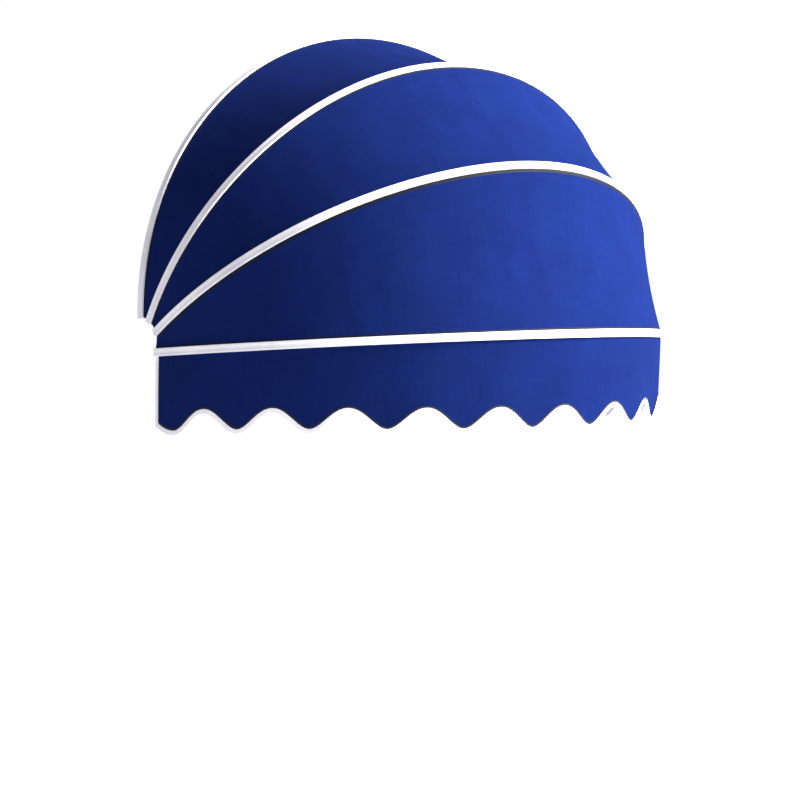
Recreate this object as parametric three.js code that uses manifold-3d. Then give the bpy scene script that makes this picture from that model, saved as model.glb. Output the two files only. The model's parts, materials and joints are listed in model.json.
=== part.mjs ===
// A folding dome awning for one window: four half-round hoops of extruded aluminium on a common
// hinge axis, three fabric gores stretched between them, and a scalloped valance below the front
// hoop. Millimetres, +Z up, +X along the wall, the wall plane at y = 0 and the awning towards -Y.
// The origin is the centre of the crown bracket's back face.

import * as THREE from 'three';
import { mergeVertices } from 'three/addons/utils/BufferGeometryUtils.js';
import Module from 'manifold-3d';

const wasm = await Module();
wasm.setup();

// Hoops and their profile.
const OUTER_RADIUS = 750; // from the hinge axis to a hoop's outer face, half the awning's width
const PROFILE_WIDTH = 20; // across the white face
const PROFILE_DEPTH = 28; // from the outer face inwards
const CORNER = 1.5; // chamfer on the profile's outer edges
const WELT_DEPTH = 6; // from the outer face to the middle of the welt channels
const WELT_CHANNEL = 5; // square channel that holds a gore's welt
const WELT_SLOT = 2; // slot through which the fabric leaves its channel
const CHANNEL_LIP = 1.5; // wall between a channel and the profile's side
const CHAMBER_TOP = 10; // from the outer face to the chamber
const CHAMBER_WIDTH = 14;
const PROFILE_WALL = 2; // below the chamber
const HOOP_STEPS = 24;
const RIB_NAMES = ['wall', 'upper', 'lower', 'front'];
const RIB_ANGLES = [0, 30, 58, 90]; // from the wall, with the awning open
const HOOP_ENDS = [24, 26, 38, 50]; // from the hinge axis up to each hoop's cut ends
const HOOP_PITCH = 21; // each hoop's plane stands this much further out, so that they stack
const AXIS_TO_WALL = 12;

// Hinges.
const ARM_THICKNESS = 3;
const ARM_PITCH = 4; // from one arm to the next along the hinge bolt
const FIRST_ARM = 684.9; // from the middle of the awning to the middle of the wall hoop's arm
const ARM_EYE_RADIUS = 10;
const ARM_WIDTH = 15;
const ARM_BEND = 8; // from the hinge axis to where an arm turns into its hoop's plane
const TANG_WIDTH = 13;
const TANG_DEPTH = 31.2; // from a hoop's outer face to the middle of the tang inside it
const TANG_START = 36;
const TANG_END = 84;
const JOGGLE_START = 15; // where an arm starts outwards to its hoop's inner face
const ARM_SCREW_HEIGHT = 66; // from the hinge axis up to a hoop's screw
const BOLT_RADIUS = 4;
const BOLT_HEAD_RADIUS = 7;
const BOLT_HEAD_HEIGHT = 4.5;
const NUT_RADIUS = 7.5;
const NUT_HEIGHT = 6.5;
const WASHER_RADIUS = 9;
const WASHER_THICKNESS = 0.4;
const SCREW_RADIUS = 2;
const SCREW_HEAD_RADIUS = 3.8;
const SCREW_HEAD_HEIGHT = 2.4;
const SCREW_SIDES = 12;
const ARM_SCREW_LENGTH = 11;
const CLEARANCE = 0.3;

// Wall brackets.
const LUG_THICKNESS = 4;
const LUG_FACE = 682.7; // the side of the lug that faces its arms
const LUG_RADIUS = 11.5;
const LEAF_THICKNESS = 4;
const LEAF_WIDTH = 62;
const LEAF_HEIGHT = 70;
const LEAF_HOLE_INSET = 18; // from the leaf's inner edge to its holes
const WALL_HOLE_RADIUS = 3.3;
const WALL_HOLE_RISE = 22; // from the leaf's middle up and down to its holes
const CROWN_WIDTH = 70;
const CROWN_HEIGHT = 44;
const CROWN_FLANGE_WIDTH = 36;
const CROWN_FLANGE_THICKNESS = 3;
const CROWN_FLANGE_REACH = 22;
const CROWN_DROP = 2.6; // from the hoop's inner face to the flange: the hoop curves down beside it
const CROWN_HOLE_SPAN = 25; // from the middle out to the crown bracket's holes
const CROWN_SCREW_LENGTH = 9;

// Lifting cord's pulley and eyes.
const SHEAVE_RADIUS = 9;
const SHEAVE_GROOVE = 2.5;
const SHEAVE_WIDTH = 7;
const SHEAVE_FLANGE = 1; // the rim's width at each side of the groove
const AXLE_RADIUS = 2.5;
const AXLE_RUNNING_FIT = 0.05;
const CHEEK_THICKNESS = 1.5;
const CHEEK_GAP = 8;
const PULLEY_REACH = 16; // from the crown bracket's face to the sheave's axle
const PULLEY_DROP = 8; // from the crown bracket's middle down to the axle
const AXLE_OVERHANG = 1.5;
const CHEEK_HEIGHT = 22;
const CHEEK_PAST_AXLE = 6;
const EYE_RADIUS = 6;
const EYE_WIRE = 1.6;
const EYE_PLATE = { width: 14, length: 16, thickness: 2 };
const EYE_GAP = 0.8; // from a hoop's inner face to the plate below its crown

// Cloth.
const CLOTH_RADIUS = OUTER_RADIUS - WELT_DEPTH; // outer face of the cloth where a hoop holds it
const CLOTH_INSET = 4; // from a hoop's cut end to the cloth's end
const CLOTH_THICKNESS = 2; // real cloth with its welt hems, simplified as one skin
const GORE_SAG = 8; // how far the middle of a gore pulls in
const GORE_STEPS_ALONG = 24;
const GORE_STEPS_ACROSS = 3;
const VALANCE_DROP = 206; // from the front hoop's middle plane to the lobes' tips at both ends
const MIDDLE_DROP = 31; // how much lower the lobes hang in the middle
const SCALLOP_DEPTH = 51;
const SCALLOP_PITCH = 192;
const FIRST_LOBE = 68; // from the strip's left end to its first lobe's tip
const CORNER_RISE = 25; // from the first lobe's tip up to the strip's left corner
const STEPS_PER_SCALLOP = 6;
const BINDING_WIDTH = 15;
const BINDING_THICKNESS = 0.8;

const innerRadius = OUTER_RADIUS - PROFILE_DEPTH;
const crownMiddle = innerRadius - CROWN_DROP - CROWN_HEIGHT / 2;
const clothStart = HOOP_ENDS.map((end) => Math.asin((end + CLOTH_INSET) / CLOTH_RADIUS));

const materials = {
  frame: new THREE.MeshStandardMaterial({ color: 0xf2f3f6, roughness: 0.45, metalness: 0.1 }),
  steel: new THREE.MeshStandardMaterial({ color: 0xb4b7bc, roughness: 0.35, metalness: 0.9 }),
  nylon: new THREE.MeshStandardMaterial({ color: 0xe6e6e2, roughness: 0.6, metalness: 0 }),
  canvas: new THREE.MeshStandardMaterial({ color: 0x1f3a9e, roughness: 0.9, metalness: 0 }),
  binding: new THREE.MeshStandardMaterial({ color: 0xe9eaf0, roughness: 0.85, metalness: 0 }),
};

// A closed geometry as a solid that can be joined or cut.
function solid(geometry) {
  const bare = geometry.clone();
  bare.deleteAttribute('normal');
  bare.deleteAttribute('uv');
  const merged = mergeVertices(bare, 1e-3);
  return new wasm.Manifold(new wasm.Mesh({
    numProp: 3,
    vertProperties: new Float32Array(merged.attributes.position.array),
    triVerts: new Uint32Array(merged.index.array),
  }));
}

function geometryOf(manifold) {
  const { vertProperties, triVerts } = manifold.getMesh();
  const geometry = new THREE.BufferGeometry();
  geometry.setAttribute('position', new THREE.BufferAttribute(vertProperties, 3));
  geometry.setIndex(new THREE.BufferAttribute(triVerts, 1));
  geometry.computeVertexNormals();
  return geometry;
}

function join(geometries) {
  return geometries.map(solid).reduce((whole, piece) => whole.add(piece));
}

function cut(body, holes) {
  return geometryOf(holes.map(solid).reduce((whole, hole) => whole.subtract(hole), body));
}

function piece(parent, name, geometry, material) {
  const mesh = new THREE.Mesh(geometry, material);
  mesh.name = name;
  parent.add(mesh);
  return mesh;
}

// A round bar between two points.
function bar(from, to, radius, sides = 12) {
  const run = to.clone().sub(from);
  const geometry = new THREE.CylinderGeometry(radius, radius, run.length(), sides);
  const along = new THREE.Vector3(0, 1, 0);
  geometry.applyQuaternion(new THREE.Quaternion().setFromUnitVectors(along, run.normalize()));
  const middle = from.clone().add(to).multiplyScalar(0.5);
  return geometry.translate(middle.x, middle.y, middle.z);
}

// A bar along X, from one distance from the middle to another on the given side.
function crossBar(side, near, far, y, z, radius, sides) {
  return bar(new THREE.Vector3(side * near, y, z), new THREE.Vector3(side * far, y, z), radius, sides);
}

// A box between two opposite corners, given in any order.
function boxBetween(a, b) {
  const size = b.clone().sub(a);
  const middle = a.clone().add(b).multiplyScalar(0.5);
  const geometry = new THREE.BoxGeometry(Math.abs(size.x), Math.abs(size.y), Math.abs(size.z));
  return geometry.translate(middle.x, middle.y, middle.z);
}

// The half circle that a hoop's outer face follows, in the hoop's own plane.
class HoopArc extends THREE.Curve {
  constructor(end) {
    super();
    this.start = Math.asin(end / OUTER_RADIUS);
  }

  getPoint(t, target = new THREE.Vector3()) {
    const angle = this.start + t * (Math.PI - 2 * this.start);
    return target.set(OUTER_RADIUS * Math.cos(angle), OUTER_RADIUS * Math.sin(angle), 0);
  }
}

// The hoop's profile: x across its width, y from the outer face inwards.
function hoopSection() {
  const half = PROFILE_WIDTH / 2;
  const slotNear = WELT_DEPTH - WELT_SLOT / 2;
  const slotFar = WELT_DEPTH + WELT_SLOT / 2;
  const channelNear = WELT_DEPTH - WELT_CHANNEL / 2;
  const channelFar = WELT_DEPTH + WELT_CHANNEL / 2;
  const lip = half - CHANNEL_LIP;
  const floor = lip - WELT_CHANNEL;
  const oneSide = [
    [half - CORNER, 0], [half, CORNER], [half, slotNear], [lip, slotNear], [lip, channelNear],
    [floor, channelNear], [floor, channelFar], [lip, channelFar], [lip, slotFar], [half, slotFar],
    [half, PROFILE_DEPTH],
  ].map(([x, y]) => new THREE.Vector2(x, y));
  const otherSide = oneSide.map((p) => new THREE.Vector2(-p.x, p.y)).reverse();
  const shape = new THREE.Shape([...oneSide, ...otherSide]);
  const chamberHalf = CHAMBER_WIDTH / 2;
  const chamberFloor = PROFILE_DEPTH - PROFILE_WALL;
  shape.holes.push(new THREE.Path([
    new THREE.Vector2(-chamberHalf, CHAMBER_TOP), new THREE.Vector2(-chamberHalf, chamberFloor),
    new THREE.Vector2(chamberHalf, chamberFloor), new THREE.Vector2(chamberHalf, CHAMBER_TOP),
  ]));
  return shape;
}

// A point of a hoop's plane at a depth below its outer face and a height above the hinge axis.
function atHeight(side, depth, height) {
  const radius = OUTER_RADIUS - depth;
  return new THREE.Vector3(side * Math.sqrt(radius ** 2 - height ** 2), height, 0);
}

// An arm's screw points straight out of the hoop's half circle.
function armScrewDirection(side) {
  return atHeight(side, PROFILE_DEPTH, ARM_SCREW_HEIGHT).normalize();
}

function armScrewHole(side, radius) {
  const direction = armScrewDirection(side);
  const inner = direction.clone().multiplyScalar(innerRadius - 8);
  const outer = direction.clone().multiplyScalar(OUTER_RADIUS - CHAMBER_TOP - 2);
  return bar(inner, outer, radius, 8);
}

function hoopGeometry(end, hasCrownScrew) {
  const body = new THREE.ExtrudeGeometry(hoopSection(), {
    steps: HOOP_STEPS, extrudePath: new HoopArc(end), bevelEnabled: false,
  });
  const holes = [-1, 1].map((side) => armScrewHole(side, SCREW_RADIUS + CLEARANCE));
  if (hasCrownScrew) {
    const chamber = new THREE.Vector3(0, innerRadius + PROFILE_WALL + 4, 0);
    holes.push(bar(new THREE.Vector3(0, innerRadius - 4, 0), chamber, SCREW_RADIUS + CLEARANCE, 8));
  }
  return cut(solid(body), holes);
}

// A flat strip bent along points in the x-y plane, as an outline of the given thickness.
function stripShape(points, thickness) {
  const sides = points.map((point, i) => {
    const before = points[Math.max(i - 1, 0)];
    const after = points[Math.min(i + 1, points.length - 1)];
    const along = after.clone().sub(before).normalize();
    const across = along.rotateAround(new THREE.Vector2(), Math.PI / 2);
    return across.multiplyScalar(thickness / 2);
  });
  const left = points.map((point, i) => point.clone().add(sides[i]));
  const right = points.map((point, i) => point.clone().sub(sides[i])).reverse();
  return new THREE.Shape([...left, ...right]);
}

// A hinge arm: an eye on the hinge bolt, a leg out to its hoop's plane, and a tang inside the hoop.
function armGeometry(side, index) {
  const middle = FIRST_ARM + index * ARM_PITCH;
  const near = middle - ARM_THICKNESS / 2;
  const far = middle + ARM_THICKNESS / 2;
  const plane = index * HOOP_PITCH;
  const legLength = Math.hypot(plane, ARM_BEND);
  const leg = boxBetween(
    new THREE.Vector3(side * near, 0, -ARM_WIDTH / 2),
    new THREE.Vector3(side * far, legLength, ARM_WIDTH / 2),
  );
  leg.rotateX(Math.atan2(plane, ARM_BEND));
  const neck = boxBetween(new THREE.Vector3(side * near, ARM_BEND, plane - TANG_WIDTH / 2),
    new THREE.Vector3(side * far, JOGGLE_START, plane + TANG_WIDTH / 2));
  const tangFoot = atHeight(side, TANG_DEPTH, TANG_START);
  const tangHead = atHeight(side, TANG_DEPTH, TANG_END);
  const tang = new THREE.ExtrudeGeometry(stripShape([
    new THREE.Vector2(side * middle, JOGGLE_START - 3), new THREE.Vector2(side * middle, JOGGLE_START),
    new THREE.Vector2(tangFoot.x, tangFoot.y), new THREE.Vector2(tangHead.x, tangHead.y),
  ], ARM_THICKNESS), { depth: TANG_WIDTH, bevelEnabled: false });
  tang.translate(0, 0, plane - TANG_WIDTH / 2);
  const body = join([
    crossBar(side, near, far, 0, 0, ARM_EYE_RADIUS, 16), leg,
    crossBar(side, near, far, ARM_BEND, plane, ARM_WIDTH / 2, 12), neck, tang,
  ]);
  const screwHole = armScrewHole(side, SCREW_RADIUS + CLEARANCE).translate(0, 0, plane);
  const boltHole = crossBar(side, near - 5, far + 5, 0, 0, BOLT_RADIUS + CLEARANCE, 16);
  return cut(body, [boltHole, screwHole]);
}

// A pan-head screw turned in one piece, which goes out along a direction from its head's seat.
function screwGeometry(seat, direction, length) {
  const profile = [
    [0, -SCREW_HEAD_HEIGHT], [SCREW_HEAD_RADIUS, -SCREW_HEAD_HEIGHT], [SCREW_HEAD_RADIUS, 0],
    [SCREW_RADIUS, 0], [SCREW_RADIUS, length], [0, length],
  ].map(([x, y]) => new THREE.Vector2(x, y));
  const screw = new THREE.LatheGeometry(profile, SCREW_SIDES);
  const along = new THREE.Vector3(0, 1, 0);
  screw.applyQuaternion(new THREE.Quaternion().setFromUnitVectors(along, direction));
  return screw.translate(seat.x, seat.y, seat.z);
}

function armScrewGeometry(side, plane) {
  const direction = armScrewDirection(side);
  const tangBow = 0.4; // the straight tang lies this much deeper at its middle
  const depth = TANG_DEPTH + ARM_THICKNESS / 2 + tangBow + CLEARANCE;
  const seat = direction.clone().multiplyScalar(OUTER_RADIUS - depth);
  return screwGeometry(seat, direction, ARM_SCREW_LENGTH).translate(0, 0, plane);
}

// A cord eye under a hoop's crown: a wire ring on a small plate.
function cordEyeGeometry(plane) {
  const plateTop = innerRadius - EYE_GAP;
  const half = EYE_PLATE.width / 2;
  const plateLow = plateTop - EYE_PLATE.thickness;
  const plate = boxBetween(
    new THREE.Vector3(-half, plateLow, -EYE_PLATE.length / 2),
    new THREE.Vector3(half, plateTop, EYE_PLATE.length / 2),
  );
  const ring = new THREE.TorusGeometry(EYE_RADIUS, EYE_WIRE, 6, 14);
  ring.translate(0, plateLow - EYE_RADIUS - EYE_WIRE / 2, 0);
  return geometryOf(join([plate, ring])).translate(0, 0, plane);
}

// A closed skin between two faces of a sheet. pointAt(u, v, depth) gives a point at 0 or 1 depth.
function skin(pointAt, columns, rows) {
  const positions = [];
  const index = [];
  for (const depth of [0, 1]) {
    for (const u of columns) {
      for (let j = 0; j <= rows; j += 1) positions.push(...pointAt(u, j / rows, depth).toArray());
    }
  }
  const last = columns.length - 1;
  const at = (i, j, depth) => depth * columns.length * (rows + 1) + i * (rows + 1) + j;
  const quad = (a, b, c, d) => index.push(a, b, c, a, c, d);
  for (let i = 0; i < last; i += 1) {
    for (let j = 0; j < rows; j += 1) {
      quad(at(i, j, 0), at(i + 1, j, 0), at(i + 1, j + 1, 0), at(i, j + 1, 0));
      quad(at(i, j, 1), at(i, j + 1, 1), at(i + 1, j + 1, 1), at(i + 1, j, 1));
    }
    quad(at(i, 0, 0), at(i, 0, 1), at(i + 1, 0, 1), at(i + 1, 0, 0));
    quad(at(i, rows, 0), at(i + 1, rows, 0), at(i + 1, rows, 1), at(i, rows, 1));
  }
  for (let j = 0; j < rows; j += 1) {
    quad(at(0, j, 0), at(0, j + 1, 0), at(0, j + 1, 1), at(0, j, 1));
    quad(at(last, j, 0), at(last, j, 1), at(last, j + 1, 1), at(last, j + 1, 0));
  }
  const geometry = new THREE.BufferGeometry();
  geometry.setAttribute('position', new THREE.Float32BufferAttribute(positions, 3));
  geometry.setIndex(index);
  geometry.computeVertexNormals();
  return geometry;
}

function evenly(count) {
  return Array.from({ length: count + 1 }, (_, i) => i / count);
}

// A point in a rib's own frame brought into the hinge's frame: y' up the rib, z' off its plane.
function turned(point, index) {
  return point.applyAxisAngle(new THREE.Vector3(1, 0, 0), ribTurn(index));
}

function ribTurn(index) {
  return THREE.MathUtils.degToRad(90 + RIB_ANGLES[index]);
}

// A gore: cloth drawn tight between two neighbouring hoops, with a little sag in its middle.
function goreGeometry(index) {
  const side = PROFILE_WIDTH / 2 + CLEARANCE;
  const rim = (u, rib, offset) => {
    const angle = Math.PI - clothStart[rib] - u * (Math.PI - 2 * clothStart[rib]);
    const across = CLOTH_RADIUS * Math.cos(angle);
    const height = CLOTH_RADIUS * Math.sin(angle);
    return turned(new THREE.Vector3(across, height, rib * HOOP_PITCH + offset), rib);
  };
  const pointAt = (u, v, depth) => {
    const point = rim(u, index, side).lerp(rim(u, index + 1, -side), v);
    const inwards = point.clone().normalize().negate();
    const sag = GORE_SAG * 4 * v * (1 - v) * Math.sin(Math.PI * u);
    return point.addScaledVector(inwards, sag + (1 - depth) * CLOTH_THICKNESS);
  };
  return skin(pointAt, evenly(GORE_STEPS_ALONG), GORE_STEPS_ACROSS);
}

// The valance hangs along the front hoop. Its length runs from the left end to the right end.
const valanceStart = clothStart[3];
const valanceLength = (Math.PI - 2 * valanceStart) * CLOTH_RADIUS;

function valancePoint(along, drop, radius) {
  const angle = Math.PI - valanceStart - along / CLOTH_RADIUS;
  return new THREE.Vector3(radius * Math.cos(angle), radius * Math.sin(angle), drop);
}

// The scalloped hem: highest between two lobes, lowest at their tips, and a little lower in the
// middle of the strip. The first lobe starts with a rounded corner.
function hemDrop(along) {
  const tips = VALANCE_DROP + MIDDLE_DROP * Math.sin((Math.PI * along) / valanceLength) ** 2;
  if (along < FIRST_LOBE) return tips - CORNER_RISE * (1 - along / FIRST_LOBE) ** 2;
  const lobes = 0.5 - 0.5 * Math.cos((2 * Math.PI * (along - FIRST_LOBE)) / SCALLOP_PITCH);
  return tips - SCALLOP_DEPTH * lobes;
}

function valanceColumns() {
  const count = Math.round((valanceLength / SCALLOP_PITCH) * STEPS_PER_SCALLOP);
  return evenly(count).map((u) => u * valanceLength);
}

const valanceTop = PROFILE_WIDTH / 2 + CLEARANCE;

function valanceGeometry() {
  const pointAt = (along, v, depth) => valancePoint(along,
    THREE.MathUtils.lerp(valanceTop, hemDrop(along), v), CLOTH_RADIUS - CLOTH_THICKNESS * (1 - depth));
  return skin(pointAt, valanceColumns(), 1);
}

// The binding follows both ends of the valance and its hem, on the outer face of the cloth.
function bindingGeometry() {
  const step = 0.01;
  const turn = [BINDING_WIDTH, BINDING_WIDTH + step];
  const inside = valanceColumns().filter((s) => s > 2 * turn[1] && s < valanceLength - 2 * turn[1]);
  const ends = turn.map((s) => valanceLength - s).reverse();
  const columns = [0, ...turn, ...inside, ...ends, valanceLength];
  const isEnd = (s) => s <= BINDING_WIDTH || s >= valanceLength - BINDING_WIDTH;
  const pointAt = (along, v, depth) => {
    const top = isEnd(along) ? valanceTop : hemDrop(along) - BINDING_WIDTH;
    const radius = CLOTH_RADIUS + CLEARANCE + BINDING_THICKNESS * depth;
    return valancePoint(along, THREE.MathUtils.lerp(top, hemDrop(along), v), radius);
  };
  return skin(pointAt, columns, 1);
}

const awning = new THREE.Group();
const hinge = new THREE.Group();
hinge.position.set(0, -AXIS_TO_WALL, -crownMiddle);
awning.add(hinge);

const ribs = RIB_NAMES.map((name, index) => {
  const rib = new THREE.Group();
  rib.rotation.x = ribTurn(index);
  hinge.add(rib);
  const hoop = piece(rib, `${name}_hoop`, hoopGeometry(HOOP_ENDS[index], index === 0), materials.frame);
  hoop.position.z = index * HOOP_PITCH;
  for (const [sideName, side] of [['left', -1], ['right', 1]]) {
    piece(rib, `${sideName}_${name}_arm`, armGeometry(side, index), materials.steel);
    const screw = armScrewGeometry(side, index * HOOP_PITCH);
    piece(rib, `${sideName}_${name}_arm_screw`, screw, materials.steel);
  }
  if (index > 0) piece(rib, `${name}_cord_eye`, cordEyeGeometry(index * HOOP_PITCH), materials.steel);
  return rib;
});

['upper_gore', 'middle_gore', 'lower_gore'].forEach((name, index) => {
  piece(hinge, name, goreGeometry(index), materials.canvas);
});

const valance = piece(ribs[3], 'valance', valanceGeometry(), materials.canvas);
const binding = piece(ribs[3], 'valance_binding', bindingGeometry(), materials.binding);
valance.position.z = 3 * HOOP_PITCH;
binding.position.z = 3 * HOOP_PITCH;

// Hinge bolts with their nuts, washers and wall brackets, in the hinge's frame.
const lastArmFace = FIRST_ARM + 3 * ARM_PITCH + ARM_THICKNESS / 2;
const lugBack = LUG_FACE - LUG_THICKNESS;

function hingeBoltGeometry(side) {
  const headSeat = lastArmFace + CLEARANCE;
  const tip = lugBack - NUT_HEIGHT - 3;
  return geometryOf(join([
    crossBar(side, tip, headSeat, 0, 0, BOLT_RADIUS, 16),
    crossBar(side, headSeat, headSeat + BOLT_HEAD_HEIGHT, 0, 0, BOLT_HEAD_RADIUS, 6),
  ]));
}

function hingeNutGeometry(side) {
  const seat = lugBack - CLEARANCE;
  const body = solid(crossBar(side, seat - NUT_HEIGHT, seat, 0, 0, NUT_RADIUS, 6));
  const bore = crossBar(side, seat - NUT_HEIGHT - 2, seat + 2, 0, 0, BOLT_RADIUS + CLEARANCE, 16);
  return cut(body, [bore]);
}

function washerGeometry(side, middle) {
  const near = middle - WASHER_THICKNESS / 2;
  const far = middle + WASHER_THICKNESS / 2;
  const body = solid(crossBar(side, near, far, 0, 0, WASHER_RADIUS, 16));
  return cut(body, [crossBar(side, near - 2, far + 2, 0, 0, BOLT_RADIUS + CLEARANCE, 16)]);
}

function wallBracketGeometry(side) {
  const leafEnd = LUG_FACE - LEAF_WIDTH;
  const leaf = boxBetween(new THREE.Vector3(side * leafEnd, AXIS_TO_WALL, -LEAF_HEIGHT / 2),
    new THREE.Vector3(side * LUG_FACE, AXIS_TO_WALL - LEAF_THICKNESS, LEAF_HEIGHT / 2));
  const web = boxBetween(new THREE.Vector3(side * lugBack, AXIS_TO_WALL, -LUG_RADIUS),
    new THREE.Vector3(side * LUG_FACE, 0, LUG_RADIUS));
  const body = join([leaf, web, crossBar(side, lugBack, LUG_FACE, 0, 0, LUG_RADIUS, 16)]);
  const holeAcross = side * (leafEnd + LEAF_HOLE_INSET);
  const wallHoles = [-WALL_HOLE_RISE, WALL_HOLE_RISE].map((z) => bar(
    new THREE.Vector3(holeAcross, AXIS_TO_WALL - LEAF_THICKNESS - 2, z),
    new THREE.Vector3(holeAcross, AXIS_TO_WALL + 2, z), WALL_HOLE_RADIUS));
  const boltHole = crossBar(side, lugBack - 2, LUG_FACE + 2, 0, 0, BOLT_RADIUS + CLEARANCE, 16);
  return cut(body, [...wallHoles, boltHole]);
}

for (const [sideName, side] of [['left', -1], ['right', 1]]) {
  piece(hinge, `${sideName}_wall_bracket`, wallBracketGeometry(side), materials.frame);
  piece(hinge, `${sideName}_hinge_bolt`, hingeBoltGeometry(side), materials.steel);
  piece(hinge, `${sideName}_hinge_nut`, hingeNutGeometry(side), materials.steel);
  for (let gap = 0; gap < 4; gap += 1) {
    const middle = FIRST_ARM + (gap - 0.5) * ARM_PITCH + (gap === 0 ? 0.2 : 0);
    piece(hinge, `${sideName}_washer_${gap + 1}`, washerGeometry(side, middle), materials.nylon);
  }
}

// The crown bracket is screwed up into the wall hoop, and carries the lifting cord's pulley.
function crownBracketGeometry() {
  const top = CROWN_HEIGHT / 2;
  const leaf = boxBetween(new THREE.Vector3(-CROWN_WIDTH / 2, 0, -top),
    new THREE.Vector3(CROWN_WIDTH / 2, -LEAF_THICKNESS, top));
  const flange = boxBetween(new THREE.Vector3(-CROWN_FLANGE_WIDTH / 2, 0, top - CROWN_FLANGE_THICKNESS),
    new THREE.Vector3(CROWN_FLANGE_WIDTH / 2, -CROWN_FLANGE_REACH, top));
  const wallHoles = [-CROWN_HOLE_SPAN, CROWN_HOLE_SPAN].map((x) => bar(
    new THREE.Vector3(x, -LEAF_THICKNESS - 2, 0), new THREE.Vector3(x, 2, 0), WALL_HOLE_RADIUS));
  const screwHole = bar(new THREE.Vector3(0, -AXIS_TO_WALL, top - CROWN_FLANGE_THICKNESS - 2),
    new THREE.Vector3(0, -AXIS_TO_WALL, top + 2), SCREW_RADIUS + CLEARANCE);
  return cut(join([leaf, flange]), [...wallHoles, screwHole]);
}

const crownTop = CROWN_HEIGHT / 2;
const screwSeat = new THREE.Vector3(0, -AXIS_TO_WALL, crownTop - CROWN_FLANGE_THICKNESS - CLEARANCE);
const upwards = new THREE.Vector3(0, 0, 1);
piece(awning, 'crown_bracket', crownBracketGeometry(), materials.frame);
piece(awning, 'crown_screw', screwGeometry(screwSeat, upwards, CROWN_SCREW_LENGTH), materials.steel);

const axleY = -LEAF_THICKNESS - CLEARANCE - PULLEY_REACH;
const axleZ = -PULLEY_DROP;

function pulleyHousingGeometry() {
  const back = -LEAF_THICKNESS - CLEARANCE;
  const outer = CHEEK_GAP / 2 + CHEEK_THICKNESS;
  const low = axleZ - CHEEK_HEIGHT / 2;
  const high = axleZ + CHEEK_HEIGHT / 2;
  const cheeks = [-1, 1].map((side) => boxBetween(new THREE.Vector3(side * CHEEK_GAP / 2, back, low),
    new THREE.Vector3(side * outer, axleY - CHEEK_PAST_AXLE, high)));
  const plate = boxBetween(new THREE.Vector3(-outer, back, low),
    new THREE.Vector3(outer, back - CHEEK_THICKNESS, high));
  const hole = crossBar(1, -outer - 2, outer + 2, axleY, axleZ, AXLE_RADIUS + CLEARANCE, 16);
  return cut(join([plate, ...cheeks]), [hole]);
}

// The sheave turns on its axle: a lathe profile with a round-bottomed groove.
function sheaveGeometry() {
  const bore = AXLE_RADIUS + AXLE_RUNNING_FIT;
  const half = SHEAVE_WIDTH / 2;
  const groove = half - SHEAVE_FLANGE;
  const floor = SHEAVE_RADIUS - SHEAVE_GROOVE;
  const profile = [
    [bore, -half], [SHEAVE_RADIUS, -half], [SHEAVE_RADIUS, -groove], [floor, -1], [floor, 1],
    [SHEAVE_RADIUS, groove], [SHEAVE_RADIUS, half], [bore, half], [bore, -half],
  ];
  const lathe = new THREE.LatheGeometry(profile.map(([x, y]) => new THREE.Vector2(x, y)), 20);
  return lathe.rotateZ(-Math.PI / 2);
}

piece(awning, 'pulley_housing', pulleyHousingGeometry(), materials.steel);
const sheave = piece(awning, 'pulley_sheave', geometryOf(solid(sheaveGeometry())), materials.nylon);
sheave.position.set(0, axleY, axleZ);
const axleHalf = CHEEK_GAP / 2 + CHEEK_THICKNESS + AXLE_OVERHANG;
const axleGeometry = crossBar(1, -axleHalf, axleHalf, 0, 0, AXLE_RADIUS, 20);
const axle = piece(awning, 'pulley_axle', axleGeometry, materials.steel);
axle.position.set(0, axleY, axleZ);

export default awning;
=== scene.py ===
import json
import math

import bpy
import numpy as np
from mathutils import Matrix, Vector


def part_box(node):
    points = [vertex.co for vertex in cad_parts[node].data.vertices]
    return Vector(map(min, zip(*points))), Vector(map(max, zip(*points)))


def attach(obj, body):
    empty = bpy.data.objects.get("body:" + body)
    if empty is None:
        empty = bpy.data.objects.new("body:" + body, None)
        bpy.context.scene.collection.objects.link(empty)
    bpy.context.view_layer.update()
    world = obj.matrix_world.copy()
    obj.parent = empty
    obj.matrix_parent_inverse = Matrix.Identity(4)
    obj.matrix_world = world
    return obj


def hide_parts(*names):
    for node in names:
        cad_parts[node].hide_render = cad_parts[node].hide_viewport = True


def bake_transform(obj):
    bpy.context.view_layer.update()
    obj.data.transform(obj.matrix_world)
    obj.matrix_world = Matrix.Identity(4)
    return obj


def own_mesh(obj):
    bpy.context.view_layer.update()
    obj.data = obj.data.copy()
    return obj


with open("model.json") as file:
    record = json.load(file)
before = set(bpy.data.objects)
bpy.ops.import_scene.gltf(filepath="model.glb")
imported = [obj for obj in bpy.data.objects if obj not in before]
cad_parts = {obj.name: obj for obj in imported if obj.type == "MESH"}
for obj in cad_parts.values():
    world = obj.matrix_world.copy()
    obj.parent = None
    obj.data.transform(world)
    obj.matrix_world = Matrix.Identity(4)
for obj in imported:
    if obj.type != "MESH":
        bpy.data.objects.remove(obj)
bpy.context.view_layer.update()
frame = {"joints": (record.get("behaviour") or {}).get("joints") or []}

# ---------------------------------------------------------------------------------------------
# Hoops. Four half circles of extruded aluminium, rolled to shape and powder coated white. The
# outer face has a shallow recess between two raised edges, each side has a slot for a welt, and
# the chamber inside is open at both ends, where the hinge arms go in.
# ---------------------------------------------------------------------------------------------
hinge = Vector(next(j["pos_m"] for j in frame["joints"] if j["name"] == "upper_hinge"))
hoop_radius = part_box("wall_hoop")[1].z - hinge.z
hoop_width = 0.020
hoop_depth = 0.028
slot_depths = (0.005, 0.007)
slot_floor = 0.0046
recess_half_width = 0.0042
recess_floor = 0.0005
chamber_depths = (0.010, 0.026)
chamber_half_width = 0.007
hoop_spin_steps = 144
hoop_edge = 0.0009
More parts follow.
